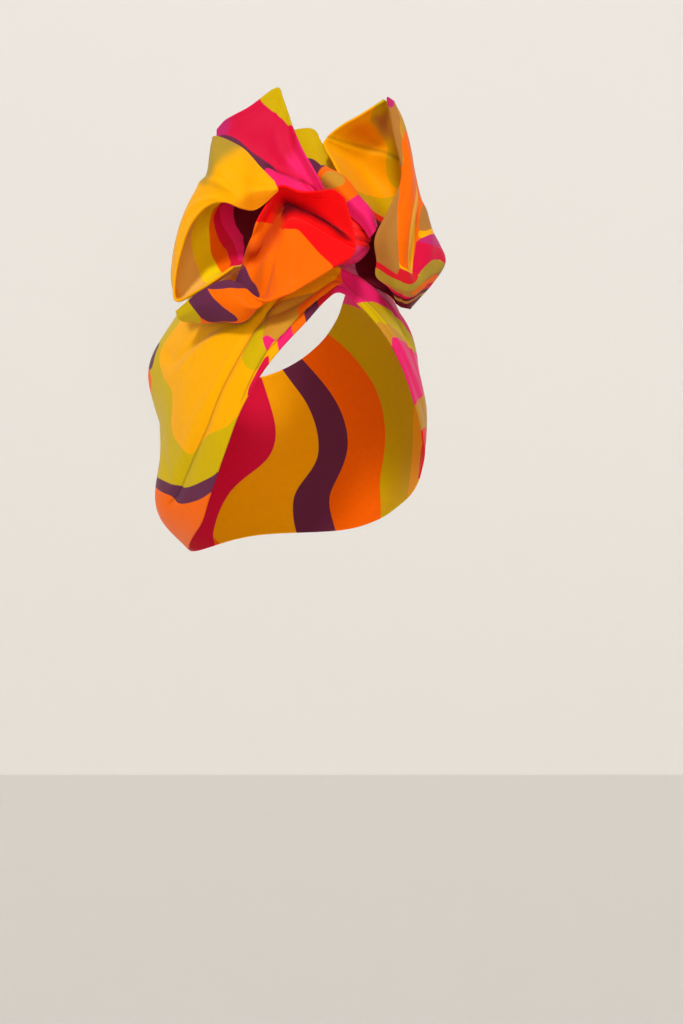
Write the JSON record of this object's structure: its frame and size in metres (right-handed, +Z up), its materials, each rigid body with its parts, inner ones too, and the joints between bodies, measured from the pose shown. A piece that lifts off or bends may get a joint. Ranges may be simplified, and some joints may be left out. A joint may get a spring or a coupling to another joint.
{
  "type": "bandana headband",
  "caption": "Bandana headband in its worn form: a wide printed cloth band with a knot and a ruffled bow standing over the forehead, held up by the head it is worn on.",
  "frame": {"origin": "centre of the head that the band fits, level with the head's widest part", "axes": "+Z up, the wearer looks along -Y, the wearer's right is -X"},
  "size_m": [0.1646, 0.1937, 0.2618],
  "materials": {
    "band_cloth": "smooth printed cloth with a soft sheen",
    "knot_cloth": "smooth printed cloth with a soft sheen",
    "pouch_cloth": "smooth printed cloth with a soft sheen",
    "side_loop_cloth": "smooth printed cloth with a soft sheen",
    "top_petal_cloth": "smooth printed cloth with a soft sheen",
    "back_petal_cloth": "smooth printed cloth with a soft sheen",
    "finger_cloth": "smooth printed cloth with a soft sheen",
    "right_loop_cloth": "smooth printed cloth with a soft sheen"
  },
  "bodies": {
    "root": {"head_band": "band_cloth", "twist_knot": "knot_cloth", "front_pouch": "pouch_cloth", "left_side_loop": "side_loop_cloth", "left_top_petal": "top_petal_cloth", "back_petal": "back_petal_cloth", "finger_fold": "finger_cloth", "right_loop": "right_loop_cloth"}
  },
  "joints": []
}
